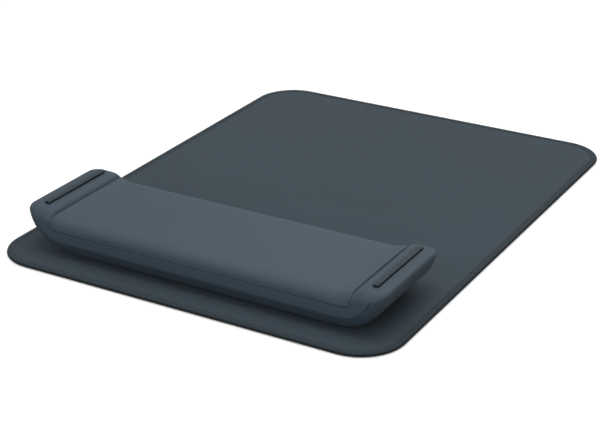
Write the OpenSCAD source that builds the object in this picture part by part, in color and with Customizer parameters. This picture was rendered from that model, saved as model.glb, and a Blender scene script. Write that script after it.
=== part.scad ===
// Mouse mat with a two-piece wrist rest that lies on it.
// Origin: centre of the mat's underside. +X runs along the front edge, +Y away from the user, +Z up.
// Millimetres.

/* [Mat] */
// Width of the mat, side to side
mat_w = 200; // [196:1:240]
// Length of the mat, front to back
mat_l = 260; // [220:1:320]
// Radius of the mat's corners
mat_corner_r = 21; // [10:1:30]
// Thickness of the rubber base
base_t = 1.0; // [0.8:0.1:3]
// Thickness of the cloth surface
cloth_t = 0.6; // [0.3:0.1:1]
// Width of the sewn border, measured in from the edge
border_w = 3.3; // [2:0.1:5]

/* [Wrist rest] */
// Width of the rest, over the two curled ends
rest_w = 182; // [181:1:190]
// Depth of the rest, front to back
rest_d = 56.4; // [54:0.1:70]
// Distance from the mat's centre to the rest's centre, towards the user
rest_forward = 88.3; // [80:0.1:90]
// Offset of the rest's centre to the right of the mat's centre
rest_x = 2; // [-4:0.5:4]
// Height of the curled ends' rims above the desk
rim_z = 22.5; // [22:0.1:23]
// Radius of the rest's corners, seen from above
rest_corner_r = 6; // [4:0.5:10]

/* [Pad] */
// Height of the pad's flat top above the desk
pad_top_z = 18.9; // [17:0.1:19.5]
// Half width of the pad
pad_half_w = 75.9; // [74:0.1:76.5]
// Thickness of the pad's cover
cover_t = 1.2; // [0.8:0.1:2]
// Thickness of the board under the foam
board_t = 1.2; // [0.8:0.1:2]

/* [Grip strips] */
// Length of the strip on each rim
strip_l = 42; // [30:1:44]
// Width of the strip
strip_w = 2.6; // [2:0.1:3.2]
// Height that the strip stands above the rim
strip_proud = 1.2; // [0.5:0.1:1.5]
// Offset of the strips towards the back
strip_back = 1; // [0:0.5:2]

/* [Hidden] */
$fn = 96;
eps = 1;                             // how far a cutting tool runs past the face it cuts

// Mat
edge_wrap = 0.9;                     // thread outside the mat's cut edge
thread_under = 0.15;                 // thread under the rubber
thread_over = 0.25;                  // thread standing above the cloth
cloth_z = base_t + cloth_t;          // top of the cloth
rubber_grey = [0.12, 0.13, 0.14];
cloth_grey = [0.20, 0.24, 0.27];
thread_grey = [0.17, 0.20, 0.23];

// The rest's end curves. The seat and the parting line are arcs about one centre at each end,
// and a larger arc forms the underside and reaches the rim at the rest's full width.
rest_y = -rest_forward;
curl_in = 20.5;                      // from the rest's end to the arcs' centre
curl_u = rest_w / 2 - curl_in;       // from the rest's centre to the arcs' centre
curl_z = 24.2;                       // height of the arcs' centre
seam_r = 10.3;                       // seat that the pad lies on
wall_r = 15.2;                       // parting line between the two shells
shell_bottom_z = 2.2;
belly_r = 24;                        // arc of the underside
belly_z = shell_bottom_z + belly_r;
belly_u = rest_w / 2 - sqrt(pow(belly_r, 2) - pow(belly_z - rim_z, 2));
rim_round = 1.2;                     // outer rounding of the rims
land = 0.3;                          // upright edge of the lower shell, under the parting line
bevel_in = 4;                        // how far the underside draws in at front and back
shell_t = 1.8;
seat_z = curl_z - seam_r;
cavity_top_z = 18;                   // the shells are solid above this height
pocket_top_z = 17;

// Fixings
screw_u = 56;
screw_v = 14;
screw_r = 1.2;
head_r = 2.6;
head_t = 1.4;
head_z = shell_bottom_z + 0.8;       // underside of a sunk screw head
head_room = 0.3;
post_r = 4.5;
post_top_z = 6.2;
boss_r = 3.2;
screw_top_z = 11.2;
drive_w = 0.7;                       // cross slot in the screw head
drive_l = 2.8;
drive_depth = 0.8;

// Feet under the rest
foot_l = 30;
foot_w = 7;
foot_corner_r = 2;
foot_u = 28;
foot_v = 17;
foot_sink = 0.5;
foot_z = cloth_z + 0.2;              // bottom of the feet

// Pad
pad_gap = 0.3;                       // clearance round the pad
scoop_u = 69;                        // where the pad's top starts to rise
scoop_r = 13;
peg_u = 30;
peg_v = 14;
peg_r = 2;
peg_l = 3;

// Lip caps and strips
lip_in_u = pad_half_w + pad_gap;     // inner side of a lip
lip_in_z = 20.9;
lip_out_u = curl_u + seam_r;         // where a lip's top meets the flat rim
lip_steps = 8;
strip_in = 7.6;                      // from the rest's end to the strip's middle
strip_u = rest_w / 2 - strip_in;
strip_sink = 0.8;
strip_corner_r = 0.4;

module rounded_rect(w, d, r) {
    square([w - 2 * r, d], center = true);
    square([w, d - 2 * r], center = true);
    for (x = [-1, 1], y = [-1, 1])
        translate([x * (w / 2 - r), y * (d / 2 - r)]) circle(r);
}

// Mat outline drawn in by an inset
module mat_outline(inset) {
    rounded_rect(mat_w - 2 * inset, mat_l - 2 * inset, mat_corner_r - inset);
}

// A profile in X and Z, extruded along Y about the rest's centre
module along_depth(d) {
    translate([rest_x, rest_y + d / 2, 0]) rotate([90, 0, 0]) linear_extrude(d) children();
}

// Everything above a curve that is flat in the middle and curls up at both ends
module curl_profile(u, z, r) {
    intersection() {
        union() {
            translate([-u, z - r]) square([2 * u, r]);
            for (s = [-1, 1]) translate([s * u, z]) circle(r);
        }
        translate([-rest_w, 0]) square([2 * rest_w, rim_z]);
    }
}

module seam_profile(gap = 0) {
    curl_profile(curl_u, curl_z, seam_r - gap);
}

module wall_profile() {
    curl_profile(curl_u, curl_z, wall_r);
}

// Outline of the whole rest, with rounded outer rims
module belly_profile() {
    half = rest_w / 2;
    intersection() {
        curl_profile(belly_u, belly_z, belly_r);
        union() {
            translate([-half, 0]) square([2 * half, rim_z - rim_round]);
            translate([-half + rim_round, 0]) square([2 * (half - rim_round), rim_z]);
            for (s = [-1, 1]) translate([s * (half - rim_round), rim_z - rim_round]) circle(rim_round);
        }
    }
}

module plan_block() {
    translate([rest_x, rest_y, 0]) linear_extrude(rim_z + eps)
        rounded_rect(rest_w, rest_d, rest_corner_r);
}

// Places its children at the four corners of a rectangle about the rest's centre
module at_corners(u, v) {
    for (x = [-1, 1], y = [-1, 1]) translate([rest_x + x * u, rest_y + y * v, 0]) children();
}

module rod(r, z0, z1) {
    translate([0, 0, z0]) cylinder(r = r, h = z1 - z0);
}

module foot_outline() {
    rounded_rect(foot_l, foot_w, foot_corner_r);
}

module strip_block(side, z0, z1) {
    translate([rest_x + side * strip_u, rest_y + strip_back, z0]) linear_extrude(z1 - z0)
        rounded_rect(strip_w, strip_l, strip_corner_r);
}

// Space over the pad and the lips: flat in the middle, rising at both ends
module scoop_profile(lift) {
    translate([-scoop_u, pad_top_z - lift]) square([2 * scoop_u, scoop_r]);
    for (s = [-1, 1]) translate([s * scoop_u, pad_top_z + scoop_r]) circle(scoop_r + lift);
}

// The pad's section, drawn in by an inset at the top and the ends
module pad_profile(inset, bottom_lift) {
    half = pad_half_w - inset;
    difference() {
        intersection() {
            seam_profile(pad_gap + bottom_lift);
            translate([-half, 0]) square([2 * half, rim_z]);
        }
        scoop_profile(inset);
    }
}

module mat_rubber_base() {
    color(rubber_grey) difference() {
        linear_extrude(base_t) mat_outline(edge_wrap);
        translate([0, 0, -eps]) linear_extrude(eps + thread_under) difference() {
            mat_outline(0);
            mat_outline(border_w);
        }
    }
}

module mat_cloth() {
    color(cloth_grey) translate([0, 0, base_t]) linear_extrude(cloth_t) mat_outline(edge_wrap);
}

module mat_edge_binding() {
    color(thread_grey) difference() {
        linear_extrude(cloth_z + thread_over) mat_outline(0);
        translate([0, 0, thread_under]) linear_extrude(cloth_z - thread_under) mat_outline(edge_wrap);
        translate([0, 0, -eps]) linear_extrude(cloth_z + 2 * eps) mat_outline(border_w);
    }
}

module upper_shell() {
    color([0.22, 0.26, 0.29]) {
        difference() {
            intersection() {
                along_depth(rest_d) wall_profile();
                plan_block();
            }
            along_depth(rest_d + 2 * eps) seam_profile();
            along_depth(rest_d - 2 * shell_t) difference() {
                translate([-rest_w / 2, 0]) square([rest_w, pocket_top_z]);
                seam_profile(-shell_t);
            }
            at_corners(peg_u, peg_v) rod(peg_r + pad_gap, 0, rim_z);
            for (side = [-1, 1]) strip_block(side, rim_z - strip_sink, rim_z + eps);
        }
        at_corners(screw_u, screw_v) difference() {
            rod(boss_r, post_top_z, seat_z - shell_t);
            rod(screw_r, 0, screw_top_z);
        }
    }
}

module lower_shell() {
    color([0.17, 0.20, 0.23]) difference() {
        union() {
            difference() {
                intersection() {
                    hull() {
                        along_depth(rest_d) curl_profile(curl_u, curl_z, wall_r + land);
                        along_depth(rest_d - 2 * bevel_in) belly_profile();
                    }
                    plan_block();
                }
                along_depth(rest_d + 2 * eps) wall_profile();
                along_depth(rest_d - 2 * (bevel_in + shell_t)) intersection() {
                    curl_profile(belly_u, belly_z, belly_r - shell_t);
                    translate([-rest_w / 2, 0]) square([rest_w, cavity_top_z]);
                }
            }
            at_corners(screw_u, screw_v) rod(post_r, shell_bottom_z, post_top_z);
        }
        at_corners(screw_u, screw_v) {
            rod(head_r + head_room, 0, head_z + head_t);
            rod(screw_r + head_room, 0, post_top_z + eps);
        }
        at_corners(foot_u, foot_v) linear_extrude(shell_bottom_z + foot_sink) foot_outline();
    }
}

// Height of a lip's top, which rises from the groove at the pad's end and levels out at the rim
function lip_top_z(u) = rim_z - (rim_z - lip_in_z) * pow((lip_out_u - u) / (lip_out_u - lip_in_u), 2);

// Wedge between the pad's end and the rim: side is -1 at the left and 1 at the right
module lip_cap(side) {
    top = [for (i = [0:lip_steps]) let (u = lip_in_u + (lip_out_u - lip_in_u) * i / lip_steps)
               [u, lip_top_z(u)]];
    color([0.23, 0.27, 0.30]) intersection() {
        along_depth(rest_d) intersection() {
            seam_profile();
            scale([side, 1]) polygon(concat([[lip_out_u, 0], [lip_in_u, 0]], top));
        }
        plan_block();
    }
}

module left_lip_cap() {
    lip_cap(-1);
}

module right_lip_cap() {
    lip_cap(1);
}

module grip_strip(side) {
    color([0.21, 0.23, 0.24]) strip_block(side, rim_z - strip_sink, rim_z + strip_proud);
}

module left_grip_strip() {
    grip_strip(-1);
}

module right_grip_strip() {
    grip_strip(1);
}

module grip_feet() {
    color(rubber_grey) at_corners(foot_u, foot_v) translate([0, 0, foot_z])
        linear_extrude(shell_bottom_z + foot_sink - foot_z) foot_outline();
}

module screw() {
    difference() {
        union() {
            rod(head_r, head_z, head_z + head_t);
            rod(screw_r, head_z + head_t, screw_top_z);
        }
        for (a = [0, 90]) rotate(a) translate([-drive_l / 2, -drive_w / 2, head_z - eps])
            cube([drive_l, drive_w, drive_depth + eps]);
    }
}

module shell_screws() {
    color("silver") at_corners(screw_u, screw_v) screw();
}

module pad_cover() {
    color([0.25, 0.29, 0.32]) difference() {
        along_depth(rest_d) pad_profile(0, 0);
        along_depth(rest_d - 2 * cover_t) difference() {
            translate([-pad_half_w + cover_t, 0]) square([2 * (pad_half_w - cover_t), rim_z]);
            scoop_profile(cover_t);
        }
    }
}

module pad_foam() {
    color("khaki") along_depth(rest_d - 2 * cover_t) pad_profile(cover_t, board_t);
}

module pad_board() {
    color([0.3, 0.3, 0.3]) {
        along_depth(rest_d - 2 * cover_t) difference() {
            pad_profile(cover_t, 0);
            seam_profile(pad_gap + board_t);
        }
        at_corners(peg_u, peg_v) rod(peg_r, seat_z + pad_gap - peg_l, seat_z + pad_gap);
    }
}

mat_rubber_base();
mat_cloth();
mat_edge_binding();
upper_shell();
lower_shell();
left_lip_cap();
right_lip_cap();
left_grip_strip();
right_grip_strip();
grip_feet();
shell_screws();
pad_cover();
pad_foam();
pad_board();
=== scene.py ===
import math

import bmesh
import bpy
import numpy as np
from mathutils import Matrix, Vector


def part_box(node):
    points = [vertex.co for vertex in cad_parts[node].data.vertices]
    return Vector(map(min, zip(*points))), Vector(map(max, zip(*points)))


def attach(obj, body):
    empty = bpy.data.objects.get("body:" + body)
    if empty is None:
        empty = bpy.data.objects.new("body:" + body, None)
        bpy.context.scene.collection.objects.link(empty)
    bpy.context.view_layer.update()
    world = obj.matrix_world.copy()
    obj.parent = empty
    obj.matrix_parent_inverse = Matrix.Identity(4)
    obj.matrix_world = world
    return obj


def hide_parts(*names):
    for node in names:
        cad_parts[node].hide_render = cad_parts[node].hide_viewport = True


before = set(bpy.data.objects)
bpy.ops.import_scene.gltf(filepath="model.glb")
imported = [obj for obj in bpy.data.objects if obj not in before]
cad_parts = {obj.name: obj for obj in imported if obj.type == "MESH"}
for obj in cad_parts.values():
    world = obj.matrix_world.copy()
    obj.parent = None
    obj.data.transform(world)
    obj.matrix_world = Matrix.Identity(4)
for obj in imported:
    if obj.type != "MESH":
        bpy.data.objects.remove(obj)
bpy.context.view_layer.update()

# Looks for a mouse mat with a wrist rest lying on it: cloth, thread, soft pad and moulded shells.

MM = 0.001

# ---------------------------------------------------------------- sizes, from the frame

mat_lo, mat_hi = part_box("mat_edge_binding")
cloth_lo, cloth_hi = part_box("mat_cloth")
shell_lo, shell_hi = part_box("lower_shell")
pad_lo, pad_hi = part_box("pad_cover")

MAT_W = mat_hi.x - mat_lo.x
MAT_L = mat_hi.y - mat_lo.y
MAT_CORNER_R = 21 * MM
BASE_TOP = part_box("mat_rubber_base")[1].z
EDGE_WRAP = 0.9 * MM            # thread outside the cut edge of the rubber and the cloth
BORDER_W = 3.3 * MM
LOOP_PITCH = 1.25 * MM          # from one loop of the border's thread to the next
LOOP_LEAN = 0.85                # how far a loop leans along the edge, in pitches
THREAD_R = 0.34 * MM
THREAD_SIDES = 6
REST_X = (pad_lo.x + pad_hi.x) / 2
REST_Y = (pad_lo.y + pad_hi.y) / 2
HALF_W = (shell_hi.x - shell_lo.x) / 2
HALF_D = (pad_hi.y - pad_lo.y) / 2
REST_CORNER_R = 7 * MM
PAD_HALF_W = (pad_hi.x - pad_lo.x) / 2
RIM_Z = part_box("upper_shell")[1].z
SHELL_BOTTOM = shell_lo.z
PEG_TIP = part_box("pad_board")[0].z
PEG_U, PEG_V = 30 * MM, 14 * MM

# The end curves of the rest: two arcs about one centre at each end, and a larger one for the underside
CURL_U = HALF_W - 20.35 * MM
CURL_Z = 24.2 * MM
SEAM_R = 10.3 * MM
WALL_R = 15.2 * MM
BELLY_R = 24 * MM
BELLY_U = HALF_W - 23.55 * MM
BELLY_Z = SHELL_BOTTOM + BELLY_R
BEVEL_IN = 4 * MM
BELLY_EDGE_R = 2.6 * MM         # rounding between the rest's front and back faces and its underside
BELLY_THICK = CURL_Z - WALL_R - SHELL_BOTTOM
PART_LINE = 0.055               # share of the underside's thickness that the parting groove takes
PART_DEPTH = 0.5 * MM
PAD_GAP = 0.3 * MM
SKIN_GAP = 0.26 * MM            # the pad's cover hangs a little over the gap
END_REACH = 0.12 * MM           # and swells a little towards the lips

# Edge rounding, along the pad's front and back and over the lips
PAD_EDGE_R = 3.0 * MM
LIP_EDGE_R = 4.6 * MM
EDGE_GROW_U = 68 * MM           # where the pad's edge radius starts to grow towards the lips'
EDGE_GROW_RUN = 9 * MM
RIM_EDGE_R = 1.2 * MM
PAD_END_R = 1.8 * MM
PAD_END_DEPTH = 0.85             # the groove at the pad's end is shallower than a full round
END_FADE = 5 * MM
PAD_TOP = 18.9 * MM
RAMP_U = 70.2 * MM              # where the pad's top starts to rise towards its end
RAMP_SLOPE = 0.37
RAMP_BLEND = 0.6 * MM
LIP_IN_U = PAD_HALF_W + 0.25 * MM
LIP_OUT_U = CURL_U + SEAM_R
LIP_RISE = 1.6 * MM


# ---------------------------------------------------------------- mesh helpers

def new_object(name, verts, faces):
    mesh = bpy.data.meshes.new(name)
    mesh.from_pydata([tuple(v) for v in verts], [], faces)
    mesh.validate()
    obj = bpy.data.objects.new(name, mesh)
    bpy.context.scene.collection.objects.link(obj)
    return obj


def tidy_normals(obj, merge=1e-6):
    bm = bmesh.new()
    bm.from_mesh(obj.data)
    bmesh.ops.remove_doubles(bm, verts=bm.verts, dist=merge)
    bmesh.ops.recalc_face_normals(bm, faces=bm.faces)
    if bm.calc_volume(signed=True) < 0:
        bmesh.ops.reverse_faces(bm, faces=bm.faces)
    bm.to_mesh(obj.data)
    bm.free()


def apply_modifiers(obj):
    """Replaces the object's mesh with what its modifiers make of it."""
    graph = bpy.context.evaluated_depsgraph_get()
    made = bpy.data.meshes.new_from_object(obj.evaluated_get(graph))
    obj.modifiers.clear()
    obj.data = made


def shade_smooth(obj, angle=40):
    for polygon in obj.data.polygons:
        polygon.use_smooth = True
    obj.data.set_sharp_from_angle(angle=math.radians(angle))


def round_edges(obj, width, segments=3, angle=35):
    bevel = obj.modifiers.new("round", "BEVEL")
    bevel.width = width
    bevel.segments = segments
    bevel.limit_method = "ANGLE"
    bevel.angle_limit = math.radians(angle)
    bevel.use_clamp_overlap = True
    apply_modifiers(obj)


def cut(obj, tool):
    """Takes the tool's solid out of the object, and removes the tool."""
    boolean = obj.modifiers.new("cut", "BOOLEAN")
    boolean.operation = "DIFFERENCE"
    boolean.solver = "EXACT"
    boolean.object = tool
    apply_modifiers(obj)
    bpy.data.objects.remove(tool)


def join(name, parts):
    """One object that holds the meshes of several."""
    bm = bmesh.new()
    for part in parts:
        part.data.transform(part.matrix_world)
        bm.from_mesh(part.data)
        bpy.data.objects.remove(part)
    mesh = bpy.data.meshes.new(name)
    bm.to_mesh(mesh)
    bm.free()
    obj = bpy.data.objects.new(name, mesh)
    bpy.context.scene.collection.objects.link(obj)
    return obj


def block(name, place, S, R, W):
    """The closed skin of a mapped block: place(s, r, w) gives the point for each grid value."""
    count = (len(S), len(R), len(W))
    index, verts, faces = {}, [], []

    def vertex(i, j, k):
        if (i, j, k) not in index:
            index[i, j, k] = len(verts)
            verts.append(place(S[i], R[j], W[k]))
        return index[i, j, k]

    for axis in range(3):
        a, b = [n for n in range(3) if n != axis]
        for end in (0, count[axis] - 1):
            for p in range(count[a] - 1):
                for q in range(count[b] - 1):
                    corners = []
                    for dp, dq in ((0, 0), (1, 0), (1, 1), (0, 1)):
                        cell = [0, 0, 0]
                        cell[axis], cell[a], cell[b] = end, p + dp, q + dq
                        corners.append(vertex(*cell))
                    faces.append(corners)
    obj = new_object(name, verts, faces)
    tidy_normals(obj)
    return obj


def spread(lo, hi, count):
    return [lo + (hi - lo) * i / (count - 1) for i in range(count)]


def rounded_outline(w, d, r, step):
    """Points and outward normals round a rectangle with round corners, about step apart, anticlockwise."""
    points = []
    runs = [((w / 2 - r, -d / 2), (w / 2 - r, -d / 2 + r), -90),
            ((w / 2, d / 2 - r), (w / 2 - r, d / 2 - r), 0),
            ((-w / 2 + r, d / 2), (-w / 2 + r, d / 2 - r), 90),
            ((-w / 2, -d / 2 + r), (-w / 2 + r, -d / 2 + r), 180)]
    starts = [(-w / 2 + r, -d / 2), (w / 2, -d / 2 + r), (w / 2 - r, d / 2), (-w / 2, d / 2 - r)]
    arc_count = max(3, round(math.pi / 2 * r / step))
    for (end, centre, angle), start in zip(runs, starts):
        length = math.dist(start, end)
        count = max(2, round(length / step))
        normal = (math.cos(math.radians(angle)), math.sin(math.radians(angle)))
        for i in range(count):
            t = i / count
            x = start[0] + (end[0] - start[0]) * t
            y = start[1] + (end[1] - start[1]) * t
            points.append((x, y, *normal))
        for i in range(arc_count):
            a = math.radians(angle + 90 * i / arc_count)
            out_x, out_y = math.cos(a), math.sin(a)
            points.append((centre[0] + r * out_x, centre[1] + r * out_y, out_x, out_y))
    return points


# ---------------------------------------------------------------- the rest's shared surface

def half_depth(u):
    """Half the rest's depth at a distance u from its middle, with round corners seen from above."""
    over = abs(u) - (HALF_W - REST_CORNER_R)
    if over <= 0:
        return HALF_D
    over = min(over, REST_CORNER_R)
    return HALF_D - REST_CORNER_R + math.sqrt(REST_CORNER_R ** 2 - over ** 2)


def drop(distance, radius):
    """How far a rounded edge falls below the flat at a distance in from the outline."""
    if distance >= radius:
        return 0.0
    return radius - math.sqrt(max(0.0, radius ** 2 - (radius - distance) ** 2))


def edge_radius(u):
    """Rounding of the front and back edges, larger over the lips than over the pad."""
    share = min(1.0, max(0.0, (abs(u) - EDGE_GROW_U) / EDGE_GROW_RUN))
    return PAD_EDGE_R + (LIP_EDGE_R - PAD_EDGE_R) * share


def end_drop(distance, v):
    """How far the groove's sides fall at a distance from it, less and less towards front and back."""
    fade = min(1.0, (HALF_D - abs(v)) / END_FADE)
    return PAD_END_DEPTH * drop(max(0.0, distance), PAD_END_R) * fade


def lip_top(u, v):
    """Height of the lips' top: a slope up from the groove, a flat rim, and rounded edges."""
    u, v = abs(u), abs(v)
    z = RIM_Z
    if u < LIP_OUT_U:
        z -= LIP_RISE * ((LIP_OUT_U - u) / (LIP_OUT_U - LIP_IN_U)) ** 2
    a = u - (HALF_W - REST_CORNER_R)
    b = v - (HALF_D - REST_CORNER_R)
    if a > 0 and b > 0:
        turn = math.atan2(b, a) / (math.pi / 2)
        radius = RIM_EDGE_R + (LIP_EDGE_R - RIM_EDGE_R) * turn
        return z - drop(max(0.0, REST_CORNER_R - math.hypot(a, b)), radius)
    return z - drop(max(0.0, HALF_D - v), edge_radius(u)) - drop(max(0.0, HALF_W - u), RIM_EDGE_R)


def pad_top(u, v):
    """Height of the pad's top: flat in the middle, a short ramp up at both ends, and rounded edges."""
    over = abs(u) - RAMP_U
    z = PAD_TOP + RAMP_SLOPE * (over + math.hypot(over, RAMP_BLEND)) / 2
    z -= drop(max(0.0, HALF_D - abs(v)), edge_radius(u))
    return z - end_drop(PAD_HALF_W - abs(u), v)


def curl_bottom(u, r):
    """Height of the curve of radius r about the curl centres, at a distance u from the middle."""
    over = abs(u) - CURL_U
    if over <= 0:
        return CURL_Z - r
    return CURL_Z - math.sqrt(max(0.0, r ** 2 - over ** 2))


def belly_reach(phi):
    """Distance from the curl centre to the underside, at an angle phi up from straight down."""
    du, dz = BELLY_U - CURL_U, BELLY_Z - CURL_Z
    along = du * math.sin(phi) - dz * math.cos(phi)
    return along + math.sqrt(BELLY_R ** 2 - du ** 2 - dz ** 2 + along ** 2)


def curl_end(radius_at, depth_at):
    """The angle at which a curled surface meets the lips' top."""
    lo, hi = 0.6, math.radians(100)
    for _ in range(40):
        phi = (lo + hi) / 2
        r = radius_at(phi)
        u = CURL_U + r * math.sin(phi)
        z = CURL_Z - r * math.cos(phi)
        if u >= HALF_W or z > lip_top(u, depth_at(u, phi)):
            hi = phi
        else:
            lo = phi
    return lo


def edge_stops(radius, half, inner):
    """Grid values from -1 to 1 across the depth, close together where the edges round over."""
    steps = 7
    near = [1 - radius * (1 - math.cos(math.pi / 2 * i / steps)) / half for i in range(steps + 1)]
    middle = spread(-near[-1], near[-1], inner)
    return [-x for x in near] + middle[1:-1] + near[::-1]


def curled(name, radius_at, flat_radius_at, half_at, S, R, W):
    """A slab along the rest's curve: flat in the middle, curling up at both ends to the lips' top."""
    ends = {}

    def place(s, t, w):
        side = 1 if s >= 0 else -1
        if abs(s) <= 1:
            u = abs(s) * CURL_U
            phi, r = 0.0, flat_radius_at(u, t)
        else:
            if (t, abs(w)) not in ends:
                ends[t, abs(w)] = curl_end(lambda a: radius_at(a, t),
                                           lambda x, a: abs(w) * half_at(x, t, a))
            phi = (abs(s) - 1) * ends[t, abs(w)]
            r = radius_at(phi, t)
            u = CURL_U + r * math.sin(phi)
        z = CURL_Z - r * math.cos(phi)
        v = w * half_at(u, t, phi)
        return (REST_X + side * u, REST_Y + v, z)

    return block(name, place, S, R, W)


# ---------------------------------------------------------------- materials

class Paint:
    """A small helper that builds one node material round a Principled shader."""

    def __init__(self, name):
        self.material = bpy.data.materials.new(name)
        self.material.use_nodes = True
        self.tree = self.material.node_tree
        self.nodes, self.links = self.tree.nodes, self.tree.links
        self.shader = self.nodes["Principled BSDF"]
        self.coords = self.nodes.new("ShaderNodeTexCoord").outputs["Object"]
        self.height = None

    def set(self, **values):
        for name, value in values.items():
            self.shader.inputs[name.replace("_", " ")].default_value = value
        return self

    def mapped(self, scale):
        node = self.nodes.new("ShaderNodeMapping")
        node.inputs["Scale"].default_value = scale
        self.links.new(self.coords, node.inputs["Vector"])
        return node.outputs["Vector"]

    def noise(self, scale, detail, vector=None):
        node = self.nodes.new("ShaderNodeTexNoise")
        node.inputs["Scale"].default_value = scale
        node.inputs["Detail"].default_value = detail
        self.links.new(vector or self.coords, node.inputs["Vector"])
        return node.outputs["Fac"]

    def wave(self, scale, direction, distortion):
        node = self.nodes.new("ShaderNodeTexWave")
        node.bands_direction = direction
        node.inputs["Scale"].default_value = scale
        node.inputs["Distortion"].default_value = distortion
        self.links.new(self.coords, node.inputs["Vector"])
        return node.outputs["Fac"]

    def cells(self, scale):
        node = self.nodes.new("ShaderNodeTexVoronoi")
        node.inputs["Scale"].default_value = scale
        self.links.new(self.coords, node.inputs["Vector"])
        return node.outputs["Distance"]

    def maths(self, operation, a, b):
        node = self.nodes.new("ShaderNodeMath")
        node.operation = operation
        for socket, value in zip(node.inputs, (a, b)):
            if isinstance(value, (int, float)):
                socket.default_value = value
            else:
                self.links.new(value, socket)
        return node.outputs["Value"]

    def ramp(self, factor, stops):
        node = self.nodes.new("ShaderNodeValToRGB")
        ramp = node.color_ramp
        while len(ramp.elements) < len(stops):
            ramp.elements.new(0.5)
        for element, (position, colour) in zip(ramp.elements, stops):
            element.position = position
            element.color = (*colour, 1.0)
        self.links.new(factor, node.inputs["Fac"])
        return node.outputs["Color"]

    def blend(self, factor, a, b):
        node = self.nodes.new("ShaderNodeMix")
        node.data_type = "RGBA"
        for name, value in (("Factor", factor), ("A", a), ("B", b)):
            socket = node.inputs[name]
            if isinstance(value, tuple):
                socket.default_value = (*value, 1.0)
            elif isinstance(value, (int, float)):
                socket.default_value = value
            else:
                self.links.new(value, socket)
        return node.outputs["Result"]

    def span(self, factor, low, high):
        node = self.nodes.new("ShaderNodeMapRange")
        node.inputs["To Min"].default_value = low
        node.inputs["To Max"].default_value = high
        self.links.new(factor, node.inputs["Value"])
        return node.outputs["Result"]

    def between(self, value, low, high):
        node = self.nodes.new("ShaderNodeMapRange")
        node.inputs["From Min"].default_value = low
        node.inputs["From Max"].default_value = high
        self.links.new(value, node.inputs["Value"])
        return node.outputs["Result"]

    def colour(self, output):
        self.links.new(output, self.shader.inputs["Base Color"])
        return self

    def rough(self, output):
        self.links.new(output, self.shader.inputs["Roughness"])
        return self

    def bump(self, output, strength, distance):
        node = self.nodes.new("ShaderNodeBump")
        node.inputs["Strength"].default_value = strength
        node.inputs["Distance"].default_value = distance
        self.links.new(output, node.inputs["Height"])
        if self.height is not None:
            self.links.new(self.height, node.inputs["Normal"])
        self.height = node.outputs["Normal"]
        self.links.new(self.height, self.shader.inputs["Normal"])
        return self


def tone(colour, factor):
    return tuple(c * factor for c in colour)


SLATE = (0.047, 0.072, 0.096)
CLOTH_SLATE = (0.042, 0.060, 0.076)
THREAD_SLATE = (0.048, 0.066, 0.079)


def cloth_material():
    p = Paint("mat_cloth")
    warp = p.wave(900, "X", distortion=0.6)
    weft = p.wave(900, "Y", distortion=0.6)
    weave = p.maths("MAXIMUM", warp, weft)
    drift = p.noise(18, 3)
    fibre = p.noise(2600, 3)
    tint = p.ramp(drift, [(0.3, tone(CLOTH_SLATE, 0.94)), (0.7, tone(CLOTH_SLATE, 1.06))])
    tint = p.blend(p.span(weave, 0.0, 0.35), tint, tone(CLOTH_SLATE, 1.35))
    tint = p.blend(p.span(fibre, 0.0, 0.3), tint, tone(CLOTH_SLATE, 0.7))
    p.colour(tint).rough(p.span(fibre, 0.72, 0.88))
    p.bump(weave, 0.35, 0.00006).bump(fibre, 0.3, 0.00004)
    return p.set(Specular_IOR_Level=0.15, Sheen_Weight=0.05, Sheen_Roughness=0.5).material


def thread_material():
    p = Paint("edge_thread")
    twist = p.wave(1500, "DIAGONAL", distortion=1.5)
    fluff = p.noise(1800, 3)
    tint = p.ramp(twist, [(0.2, tone(THREAD_SLATE, 0.75)), (0.8, tone(THREAD_SLATE, 1.3))])
    tint = p.blend(p.span(fluff, 0.0, 0.4), tint, tone(THREAD_SLATE, 0.8))
    # painted shade: below 0.8 of the mat's height the thread and core darken to a quarter of their colour,
    # as the shade under the edge
    height = p.nodes.new("ShaderNodeSeparateXYZ")
    p.links.new(p.coords, height.inputs["Vector"])
    above_painted_shade = p.between(height.outputs["Z"], 0.80 * mat_hi.z, 0.97 * mat_hi.z)
    tint = p.blend(above_painted_shade, tone(THREAD_SLATE, 0.25), tint)
    p.colour(tint).rough(p.span(fluff, 0.6, 0.8)).bump(twist, 0.5, 0.00005)
    return p.set(Specular_IOR_Level=0.2, Sheen_Weight=0.08, Sheen_Roughness=0.4).material


def soft_touch_material(name, colour, grain=0.25):
    """A soft-touch skin: matt, with a very fine grain, faint clouding and a little dusty sheen."""
    p = Paint(name)
    cloud = p.noise(22, 3)
    fine = p.noise(3800, 2)
    pores = p.cells(2400)
    tint = p.ramp(cloud, [(0.3, tone(colour, 0.96)), (0.7, tone(colour, 1.04))])
    tint = p.blend(p.span(fine, 0.0, 0.25), tint, tone(colour, 0.82))
    p.colour(tint).rough(p.span(cloud, 0.50, 0.60))
    p.bump(fine, grain, 0.00003).bump(pores, grain * 0.7, 0.00004)
    return p.set(Specular_IOR_Level=0.25, Sheen_Weight=0.04, Sheen_Roughness=0.45).material


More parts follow.
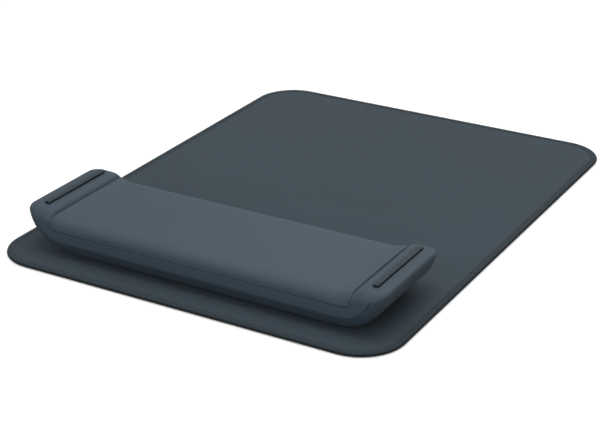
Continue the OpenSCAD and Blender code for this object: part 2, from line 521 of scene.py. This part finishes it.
def strip_material():
    p = Paint("strip_rubber")
    speck = p.cells(1500)
    fine = p.noise(1300, 2)
    base = (0.031, 0.046, 0.060)
    stops = [(0.15, tone(base, 1.5)), (0.35, tone(base, 0.95)), (0.8, tone(base, 0.75))]
    tint = p.ramp(speck, stops)
    tint = p.blend(p.span(fine, 0.0, 0.5), tint, tone(base, 1.1))
    # painted shade: faces that turn sideways, the strip's side walls, are coloured near-black; only faces
    # turned upward keep the rubber's colour
    facing = p.nodes.new("ShaderNodeSeparateXYZ")
    p.links.new(p.nodes.new("ShaderNodeNewGeometry").outputs["True Normal"], facing.inputs["Vector"])
    top_not_side_shade = p.maths("SMOOTH_MIN", p.maths("MULTIPLY", facing.outputs["Z"], 1.6), 1.0)
    tint = p.blend(top_not_side_shade, (0.003, 0.007, 0.009), tint)
    p.colour(tint).rough(p.span(fine, 0.6, 0.78)).bump(speck, 0.6, 0.00012)
    return p.set(Specular_IOR_Level=0.35).material


def rubber_material(name="mat_rubber"):
    p = Paint(name)
    fine = p.noise(900, 4)
    cloud = p.noise(30, 2)
    base = (0.020, 0.022, 0.025)
    tint = p.ramp(cloud, [(0.3, tone(base, 0.85)), (0.7, tone(base, 1.2))])
    tint = p.blend(p.span(fine, 0.0, 0.5), tint, tone(base, 1.6))
    p.colour(tint).rough(p.span(fine, 0.75, 0.92)).bump(fine, 0.5, 0.0001)
    return p.set(Specular_IOR_Level=0.3).material


def foam_material():
    p = Paint("pad_foam")
    pores = p.cells(1400)
    fine = p.noise(600, 4)
    base = (0.52, 0.47, 0.35)
    tint = p.ramp(pores, [(0.05, tone(base, 0.45)), (0.35, base)])
    p.colour(p.blend(p.span(fine, 0, 0.4), tint, tone(base, 1.15)))
    p.rough(p.span(fine, 0.85, 0.97)).bump(pores, 0.8, 0.0002)
    return p.material


def moulded_material(name, colour):
    p = Paint(name)
    spark = p.noise(2200, 3)
    cloud = p.noise(25, 2)
    tint = p.ramp(cloud, [(0.3, tone(colour, 0.93)), (0.7, tone(colour, 1.05))])
    tint = p.blend(p.span(spark, 0.0, 0.3), tint, tone(colour, 1.4))
    p.colour(tint).rough(p.span(spark, 0.42, 0.6)).bump(spark, 0.35, 0.00005)
    return p.set(Specular_IOR_Level=0.45).material


def steel_material():
    p = Paint("screw_steel")
    turned = p.noise(900, 3, p.mapped((1, 1, 6)))
    tint = p.ramp(turned, [(0.3, (0.42, 0.43, 0.44)), (0.7, (0.6, 0.6, 0.6))])
    p.colour(tint).rough(p.span(turned, 0.25, 0.42)).bump(turned, 0.2, 0.00003)
    return p.set(Metallic=1.0).material


def finish_piece(obj, material, body, nodes, angle=40):
    """Gives a piece its material, and says what it rides on and stands for."""
    obj.data.materials.clear()
    obj.data.materials.append(material)
    shade_smooth(obj, angle)
    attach(obj, body)
    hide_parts(*nodes)
    return obj


# ---------------------------------------------------------------- the mat

def mat_sheet(name, inset, z0, z1, pitch):
    """A plate with round corners, gridded on both faces."""
    w = MAT_W - 2 * inset
    d = MAT_L - 2 * inset
    r = MAT_CORNER_R - inset
    nx, ny = round(w / pitch), round(d / pitch)

    def place(s, t, q):
        # The square grid is pulled in at the corners, row by row
        y = q * d / 2
        over = abs(y) - (d / 2 - r)
        half = w / 2 if over <= 0 else w / 2 - r + math.sqrt(max(0.0, r ** 2 - over ** 2))
        return (s * half, y, z0 + (z1 - z0) * t)

    steps = [math.sin(math.pi / 2 * i / 8) for i in range(9)]
    corner = [(d / 2 - r + r * k) / (d / 2) for k in steps]
    middle = spread(-corner[0], corner[0], ny)
    q_stops = [-x for x in corner[::-1]] + middle[1:-1] + corner
    return block(name, place, spread(-1, 1, nx), [0, 1], q_stops)


def make_mat():
    base = mat_sheet("mat_rubber_base_visual", EDGE_WRAP, 0.0, BASE_TOP - 0.02 * MM, pitch=2.5 * MM)
    finish_piece(base, rubber_material(), "mat", ["mat_rubber_base"])
    cloth = mat_sheet("mat_cloth_top", EDGE_WRAP, BASE_TOP, cloth_hi.z, pitch=4 * MM)
    finish_piece(cloth, cloth_material(), "mat", ["mat_cloth"])
    make_stitching()


def loop_path(top, bottom):
    """A loop's path over the edge, as (inset from the outline, height), from cloth to underside."""
    half_t = (top - bottom) / 2
    mid_z = (top + bottom) / 2
    reach = half_t - THREAD_R
    path = [(BORDER_W, cloth_hi.z - THREAD_R * 0.6), (BORDER_W - 0.35 * MM, top - THREAD_R * 0.9)]
    path += [(BORDER_W * k, top - THREAD_R) for k in (0.72, 0.5)]
    for i in range(7):
        a = math.radians(90 - 30 * i)
        path.append((half_t - reach * math.cos(a), mid_z + reach * math.sin(a)))
    path += [(BORDER_W * k, bottom + THREAD_R * 0.9) for k in (0.55, 0.9)]
    return path


def loop_rings(path, place, step, bottom):
    """The rings of points of one thread loop that leans along the outline as it comes over the edge."""
    x, y, nx, ny = place
    tx, ty = -ny, nx
    points = []
    for k, (inset, z) in enumerate(path):
        slant = step * (LOOP_LEAN if k < 2 else LOOP_LEAN - LOOP_LEAN * min(1.0, (k - 1) / 4.0))
        cx, cy = x - nx * inset + tx * slant, y - ny * inset + ty * slant
        before, after = path[max(0, k - 1)], path[min(len(path) - 1, k + 1)]
        run, rise = after[0] - before[0], after[1] - before[1]
        size = math.hypot(run, rise)
        out, up = rise / size, -run / size
        flat = THREAD_R * (1.15 if 1 < k < 10 else 1.0)
        for m in range(THREAD_SIDES):
            a = 2 * math.pi * m / THREAD_SIDES
            along = flat * math.cos(a)
            away = THREAD_R * math.sin(a)
            # away points across the path within its plane, along runs round the outline
            px = cx + tx * along - nx * away * out
            py = cy + ty * along - ny * away * out
            points.append((px, py, max(bottom, z + away * up)))
    return points


def thread_loops():
    """The slanted thread loops that wrap the mat's edge."""
    bottom = mat_lo.z
    outline = rounded_outline(MAT_W, MAT_L, MAT_CORNER_R, LOOP_PITCH)
    path = loop_path(mat_hi.z, bottom)
    sides = THREAD_SIDES
    verts, faces = [], []
    for index, place in enumerate(outline):
        after = outline[(index + 1) % len(outline)]
        first = len(verts)
        verts += loop_rings(path, place, math.dist(place[:2], after[:2]), bottom)
        for k in range(len(path) - 1):
            for m in range(sides):
                a, b = first + k * sides + m, first + k * sides + (m + 1) % sides
                faces.append((a, b, b + sides, a + sides))
        faces.append([first + m for m in range(sides)][::-1])
        faces.append([first + (len(path) - 1) * sides + m for m in range(sides)])
    loops = new_object("mat_edge_stitching", verts, faces)
    tidy_normals(loops, 1e-8)
    return loops


def make_stitching():
    """The overlocked border: thread loops, the needle thread along their inner ends, and a solid core."""
    needle = edge_cord("needle", BORDER_W + 0.05 * MM, cloth_hi.z + 0.02 * MM, 0.2 * MM, 0.5 * LOOP_PITCH,
                       ripple=0.1 * MM)
    core = edge_core(mat_lo.z, mat_hi.z)
    piece = join("mat_edge_stitching", [thread_loops(), needle, core])
    finish_piece(piece, thread_material(), "mat", ["mat_edge_binding"], angle=60)


def edge_cord(name, inset, z, radius, step, ripple):
    """A closed cord along the mat's outline at an inset, its thickness rippling stitch by stitch."""
    outline = rounded_outline(MAT_W - 2 * inset, MAT_L - 2 * inset, MAT_CORNER_R - inset, step)
    sides, verts, faces = THREAD_SIDES, [], []
    n = len(outline)
    for index, (x, y, nx, ny) in enumerate(outline):
        swell = radius + ripple * (1 if index % 2 else -1)
        for m in range(sides):
            a = 2 * math.pi * m / sides
            out = swell * math.cos(a)
            verts.append((x + nx * out, y + ny * out, z + swell * math.sin(a)))
    for i in range(n):
        for m in range(sides):
            a, b = i * sides + m, i * sides + (m + 1) % sides
            c = ((i + 1) % n) * sides
            faces.append((a, b, c + (m + 1) % sides, c + m))
    obj = new_object(name, verts, faces)
    tidy_normals(obj, 1e-8)
    return obj


def edge_core(bottom, top):
    """The solid edge that shows between the loops: a rounded strip under the thread."""
    sink = 0.24 * MM
    half = (top - bottom) / 2 - sink
    mid = (top + bottom) / 2
    section = [(BORDER_W - 0.1 * MM, cloth_hi.z - 0.05 * MM), (BORDER_W - 0.4 * MM, top - sink)]
    for i in range(9):
        a = math.radians(90 - 22.5 * i)
        section.append((half + sink - half * math.cos(a), mid + half * math.sin(a)))
    section += [(BORDER_W - 0.4 * MM, bottom + sink), (BORDER_W - 0.4 * MM, mid)]
    outline = rounded_outline(MAT_W, MAT_L, MAT_CORNER_R, 3 * MM)
    n, m = len(outline), len(section)
    verts = [(x - nx * inset, y - ny * inset, z) for x, y, nx, ny in outline for inset, z in section]
    faces = []
    for i in range(n):
        for k in range(m):
            a, b = i * m + k, i * m + (k + 1) % m
            c = ((i + 1) % n) * m
            faces.append((a, b, c + (k + 1) % m, c + k))
    obj = new_object("edge_core", verts, faces)
    tidy_normals(obj, 1e-8)
    return obj


# ---------------------------------------------------------------- the rest's shells

def path_stops():
    flat = spread(-1, 1, 25)
    curl = [1 + i / 22 for i in range(1, 23)]
    return [-x for x in curl[::-1]] + flat + curl


def rod(name, x, y, z0, z1, r, sides=40):
    verts, faces = [], []
    for z in (z0, z1):
        for m in range(sides):
            a = 2 * math.pi * m / sides
            verts.append((x + r * math.cos(a), y + r * math.sin(a), z))
    faces.append(list(range(sides))[::-1])
    faces.append(list(range(sides, 2 * sides)))
    for m in range(sides):
        faces.append((m, (m + 1) % sides, sides + (m + 1) % sides, sides + m))
    return new_object(name, verts, faces)


def corners(u, v):
    return [(REST_X + sx * u, REST_Y + sy * v) for sx in (-1, 1) for sy in (-1, 1)]


def make_upper_shell(material):
    """The band between the pad's seam and the sharp lower edge, with the strips' slots and the sockets."""
    W = edge_stops(LIP_EDGE_R, HALF_D, 9)
    band = curled("upper_shell_band",
                  lambda phi, t: SEAM_R + (WALL_R - SEAM_R) * t,
                  lambda u, t: SEAM_R + (WALL_R - SEAM_R) * t,
                  lambda u, t, phi: half_depth(u),
                  path_stops(), spread(0, 1, 6), W)
    round_edges(band, 0.24 * MM, segments=2)
    for node in ("left_grip_strip", "right_grip_strip"):
        lo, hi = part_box(node)
        room = Vector((0.08, 0.08, 0)) * MM
        cut(band, rounded_box("slot", lo - room, hi + room + Vector((0, 0, 1)) * MM, 0.4 * MM))
    seat = CURL_Z - SEAM_R
    for x, y in corners(PEG_U, PEG_V):
        cut(band, rod("socket", x, y, seat - 3.5 * MM, seat + 1 * MM, 2.3 * MM))
    return finish_piece(band, material, "rest", ["upper_shell"])


def make_lower_shell(material):
    """The underside: drawn in under the sharp edge at front and back, and wrapped outside the lips."""
    W = edge_stops(LIP_EDGE_R, HALF_D, 9)

    def flat_radius(u, t):
        over = u - BELLY_U
        bottom = SHELL_BOTTOM if over <= 0 else BELLY_Z - math.sqrt(BELLY_R ** 2 - over ** 2)
        return WALL_R + (CURL_Z - bottom - WALL_R) * t

    def half_at(u, t, phi):
        turn = min(1.0, phi / (math.pi / 2))
        if t < PART_LINE:
            return HALF_D - PART_DEPTH
        slope = BEVEL_IN * (1 - 0.85 * turn) * (t - PART_LINE) / (1 - PART_LINE)
        thick = BELLY_THICK + (HALF_W - CURL_U - WALL_R - BELLY_THICK) * turn
        radius = BELLY_EDGE_R + (REST_CORNER_R - BELLY_EDGE_R) * turn ** 2
        return HALF_D - slope - drop((1 - t) * thick, radius)

    rows = [0, PART_LINE - 0.001, PART_LINE] + [math.sin(math.pi / 2 * k / 12) for k in range(1, 13)]
    shell = curled("lower_shell_tub",
                   lambda phi, t: WALL_R + (belly_reach(phi) - WALL_R) * t,
                   flat_radius, half_at, path_stops(), rows, W)
    round_edges(shell, 0.12 * MM, segments=2)
    return finish_piece(shell, material, "rest", ["lower_shell"])


def make_lip_cap(side, material):
    """The wedge between the shallow groove at the pad's end and the rim."""
    name = "left_lip_cap" if side < 0 else "right_lip_cap"
    far = LIP_OUT_U - 0.15 * MM

    def place(s, t, w):
        limit = far
        for _ in range(30):
            if curl_bottom(limit, SEAM_R) < lip_top(limit, w * half_depth(limit)) - 0.12 * MM:
                break
            limit -= 0.1 * MM
        u = LIP_IN_U + (limit - LIP_IN_U) * s
        v = w * (half_depth(u) - (0.25 * MM if t == 0 else 0.0))
        low = curl_bottom(u, SEAM_R)
        high = lip_top(u, v) - end_drop(u - LIP_IN_U, v)
        return (REST_X + side * u, REST_Y + v, low + (high - low) * t)

    columns = [0, 0.02, 0.05, 0.1, 0.16, 0.22, 0.3] + spread(0.38, 1, 9)
    rows = [0, 0.05, 0.3, 0.6, 1]
    cap = block(name + "_visual", place, columns, rows, edge_stops(LIP_EDGE_R, HALF_D, 9))
    return finish_piece(cap, material, "rest", [name])


def rounded_box(name, lo, hi, r):
    """A box with its upright edges rounded."""
    w, d = hi.x - lo.x, hi.y - lo.y
    cx, cy = (lo.x + hi.x) / 2, (lo.y + hi.y) / 2
    outline = rounded_outline(w, d, r, 0.15 * MM if r < 1 * MM else 0.8 * MM)
    n = len(outline)
    verts = [(cx + x, cy + y, z) for z in (lo.z, hi.z) for x, y, _, _ in outline]
    faces = [list(range(n))[::-1], list(range(n, 2 * n))]
    faces += [(i, (i + 1) % n, n + (i + 1) % n, n + i) for i in range(n)]
    return new_object(name, verts, faces)


def make_strip(side, material):
    """A rubber strip let into the rim, its top slightly crowned."""
    node = "left_grip_strip" if side < 0 else "right_grip_strip"
    lo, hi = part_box(node)
    cx, cy = (lo.x + hi.x) / 2, (lo.y + hi.y) / 2
    w, d = (hi.x - lo.x) / 2, (hi.y - lo.y) / 2
    crown = 0.18 * MM

    def place(s, t, q):
        top = hi.z - crown * (s * s)
        return (cx + s * w, cy + q * d, lo.z + (top - lo.z) * t)

    strip = block(node + "_rubber", place, spread(-1, 1, 7), [0, 0.5, 1], spread(-1, 1, 30))
    round_edges(strip, 0.22 * MM, segments=3, angle=50)
    return finish_piece(strip, material, "rest", [node])


def make_feet(material):
    lo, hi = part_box("grip_feet")
    length, width = 30 * MM, 7 * MM
    feet = []
    for x, y in corners(28 * MM, 17 * MM):
        foot = rounded_box("foot", Vector((x - length / 2, y - width / 2, lo.z)),
                           Vector((x + length / 2, y + width / 2, hi.z)), 2 * MM)
        round_edges(foot, 0.15 * MM, segments=2, angle=60)
        feet.append(foot)
    return finish_piece(join("grip_feet_rubber", feet), material, "rest", ["grip_feet"])


# ---------------------------------------------------------------- the pad

def pad_stops():
    """Grid values along the pad's width, close together at the ends."""
    near = [1 - PAD_END_R * (1 - math.cos(math.pi / 2 * i / 5)) / PAD_HALF_W for i in range(6)]
    inner = spread(-near[-1], near[-1], 76)
    return [-x for x in near] + inner[1:-1] + near[::-1]


def pad_block(name, inset, gap, full):
    """A solid of the pad's shape, drawn in by an inset, standing a gap above the seat."""
    half_u = PAD_HALF_W + END_REACH - inset
    half_v = HALF_D - inset

    def place(s, t, w):
        u, v = s * half_u, w * half_v
        low = curl_bottom(u, SEAM_R - gap)
        if full:
            high = pad_top(u, v)
        else:
            high = pad_top(u * PAD_HALF_W / half_u, 0) - inset
        return (REST_X + u, REST_Y + v, low + (high - low) * t)

    S = pad_stops() if full else spread(-1, 1, 60)
    W = edge_stops(PAD_EDGE_R, HALF_D, 24) if full else spread(-1, 1, 12)
    return block(name, place, S, [0, 0.3, 0.65, 1] if full else [0, 1], W)


def drop_bottom(obj):
    """Opens the underside, leaving the top and the four sides."""
    bm = bmesh.new()
    bm.from_mesh(obj.data)
    under = [f for f in bm.faces if f.normal.z < -0.6]
    bmesh.ops.delete(bm, geom=under, context="FACES")
    bm.to_mesh(obj.data)
    bm.free()


def plump(obj, pressure, limit):
    """Cloth simulation: the skin swells over the foam, its lower edge pinned, no point past the limit."""
    rest = np.array([v.co for v in obj.data.vertices])
    bm = bmesh.new()
    bm.from_mesh(obj.data)
    pinned = [v.index for v in bm.verts if v.is_boundary]
    bm.free()
    group = obj.vertex_groups.new(name="seam")
    group.add(pinned, 1.0, "REPLACE")
    cloth = obj.modifiers.new("cloth", "CLOTH")
    settings = cloth.settings
    settings.quality = 6
    settings.mass = 0.3
    settings.tension_stiffness = settings.compression_stiffness = 30
    settings.shear_stiffness = 15
    settings.bending_stiffness = 6
    settings.air_damping = 3
    settings.vertex_group_mass = "seam"
    settings.use_pressure = True
    settings.uniform_pressure_force = pressure
    settings.effector_weights.gravity = 0
    cloth.collision_settings.use_collision = False
    scene = bpy.context.scene
    cloth.point_cache.frame_start, cloth.point_cache.frame_end = 1, 20
    for number in range(1, 21):
        scene.frame_set(number)
    graph = bpy.context.evaluated_depsgraph_get()
    swollen = np.array([v.co for v in obj.evaluated_get(graph).data.vertices])
    obj.modifiers.clear()
    obj.vertex_groups.clear()
    scene.frame_set(1)
    move = swollen - rest
    size = np.linalg.norm(move, axis=1, keepdims=True)
    capped = rest + move / np.maximum(size, 1e-12) * limit * np.tanh(size / limit)
    obj.data.vertices.foreach_set("co", capped.ravel())
    obj.data.update()


def make_pad(cover_material, foam, board_material):
    cover = pad_block("pad_soft_cover", 0.0, SKIN_GAP, True)
    drop_bottom(cover)
    plump(cover, 4.0, 0.3 * MM)
    solid = cover.modifiers.new("thickness", "SOLIDIFY")
    solid.thickness = 1.1 * MM
    solid.offset = -1
    apply_modifiers(cover)
    round_edges(cover, 0.15 * MM, segments=2, angle=50)
    finish_piece(cover, cover_material, "pad", ["pad_cover"])
    core = pad_block("pad_foam_core", 1.6 * MM, PAD_GAP + 1.3 * MM, False)
    finish_piece(core, foam, "pad", ["pad_foam"])
    make_board(board_material)


def make_board(material):
    """The stiff board under the foam, with its four locating pegs."""
    half_u, half_v = PAD_HALF_W - 1.3 * MM, HALF_D - 1.3 * MM
    thickness = 1.2 * MM

    def place(s, t, w):
        u = s * half_u
        low = curl_bottom(u, SEAM_R - PAD_GAP)
        return (REST_X + u, REST_Y + w * half_v, low + thickness * t)

    board = block("board", place, spread(-1, 1, 90), [0, 1], spread(-1, 1, 10))
    round_edges(board, 0.25 * MM, segments=2, angle=60)
    seat = CURL_Z - SEAM_R + PAD_GAP
    pegs = []
    for x, y in corners(PEG_U, PEG_V):
        peg = rod("peg", x, y, PEG_TIP, seat + 0.2 * MM, 2 * MM)
        round_edges(peg, 0.5 * MM, segments=3, angle=60)
        pegs.append(peg)
    piece = join("pad_board_moulded", [board, *pegs])
    return finish_piece(piece, material, "pad", ["pad_board"])


# ---------------------------------------------------------------- stage

def aim(obj, target):
    obj.rotation_mode = "QUATERNION"
    obj.rotation_quaternion = (Vector(target) - obj.location).to_track_quat("-Z", "Y")


def make_camera():
    """A long lens from the front right, looking down about 24 degrees."""
    azimuth, elevation, distance = math.radians(29.85), math.radians(24.34), 0.7634
    target = Vector((-0.0025, -0.0163, 0.0))
    back = Vector((math.sin(azimuth) * math.cos(elevation), -math.cos(azimuth) * math.cos(elevation),
                   math.sin(elevation)))
    data = bpy.data.cameras.new("camera")
    data.sensor_width = 36
    data.lens = 95.25
    camera = bpy.data.objects.new("camera", data)
    bpy.context.scene.collection.objects.link(camera)
    camera.location = target + back * distance
    aim(camera, target)
    data.clip_start, data.clip_end = 0.01, 20
    bpy.context.scene.camera = camera


def make_light(name, location, target, size, power):
    data = bpy.data.lights.new(name, "AREA")
    data.shape = "RECTANGLE"
    data.size, data.size_y = size
    data.energy = power
    light = bpy.data.objects.new(name, data)
    bpy.context.scene.collection.objects.link(light)
    light.location = location
    aim(light, target)


def make_world():
    """A plain grey studio that brightens from the horizon upwards."""
    world = bpy.data.worlds.new("studio")
    bpy.context.scene.world = world
    world.use_nodes = True
    nodes, links = world.node_tree.nodes, world.node_tree.links
    coords = nodes.new("ShaderNodeTexCoord")
    split = nodes.new("ShaderNodeSeparateXYZ")
    rise = nodes.new("ShaderNodeMapRange")
    rise.inputs["From Min"].default_value = -1
    ramp = nodes.new("ShaderNodeValToRGB")
    low, high = ramp.color_ramp.elements
    low.position, low.color = 0.48, (0.40, 0.42, 0.43, 1)
    high.position, high.color = 0.9, (0.72, 0.72, 0.72, 1)
    links.new(coords.outputs["Generated"], split.inputs["Vector"])
    links.new(split.outputs["Z"], rise.inputs["Value"])
    links.new(rise.outputs["Result"], ramp.inputs["Fac"])
    links.new(ramp.outputs["Color"], nodes["Background"].inputs["Color"])
    nodes["Background"].inputs["Strength"].default_value = 0.8


def make_floor():
    """A white paper disc that throws no light back onto the object, as in a cut-out product picture."""
    radius, sides = 6.0, 24
    turns = [2 * math.pi * i / sides for i in range(sides)]
    verts = [(radius * math.cos(a), radius * math.sin(a), -0.0001) for a in turns]
    floor = new_object("floor", verts, [list(range(sides))])
    paper = Paint("floor_paper")
    grain = paper.noise(400, 2)
    paper.colour(paper.ramp(grain, [(0.3, (0.93, 0.93, 0.93)), (0.7, (0.95, 0.95, 0.95))]))
    paper.set(Roughness=0.9, Specular_IOR_Level=0.2, Emission_Color=(1, 1, 1, 1), Emission_Strength=0.22)
    floor.data.materials.append(paper.material)
    floor.visible_diffuse = False
    floor.visible_glossy = False


def make_stage():
    make_world()
    make_floor()
    make_light("key", (0.15, -0.12, 1.0), (0, -0.03, 0), (0.7, 0.7), 4.2)
    make_light("back", (-0.1, 0.95, 0.68), (0, -0.03, 0), (0.9, 0.5), 1.9)
    make_light("fill", (0.15, -0.9, 0.4), (0, -0.05, 0), (0.6, 0.6), 2.0)
    view = bpy.context.scene.view_settings
    view.view_transform = "Standard"
    view.look = "None"


# ---------------------------------------------------------------- build

make_camera()
make_stage()
make_mat()
soft_touch = soft_touch_material("shell_soft_touch", SLATE)
make_upper_shell(soft_touch)
make_lower_shell(soft_touch_material("lower_shell_plastic", tone(SLATE, 0.92)))
rubber = strip_material()
for end in (-1, 1):
    make_lip_cap(end, soft_touch)
    make_strip(end, rubber)
make_feet(rubber_material("foot_rubber"))
steel = steel_material()
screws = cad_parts["shell_screws"]
screws.data.materials.clear()
screws.data.materials.append(steel)
make_pad(soft_touch_material("pad_skin", tone(SLATE, 1.05), grain=0.3),
         foam_material(), moulded_material("pad_board_plastic", (0.03, 0.032, 0.035)))
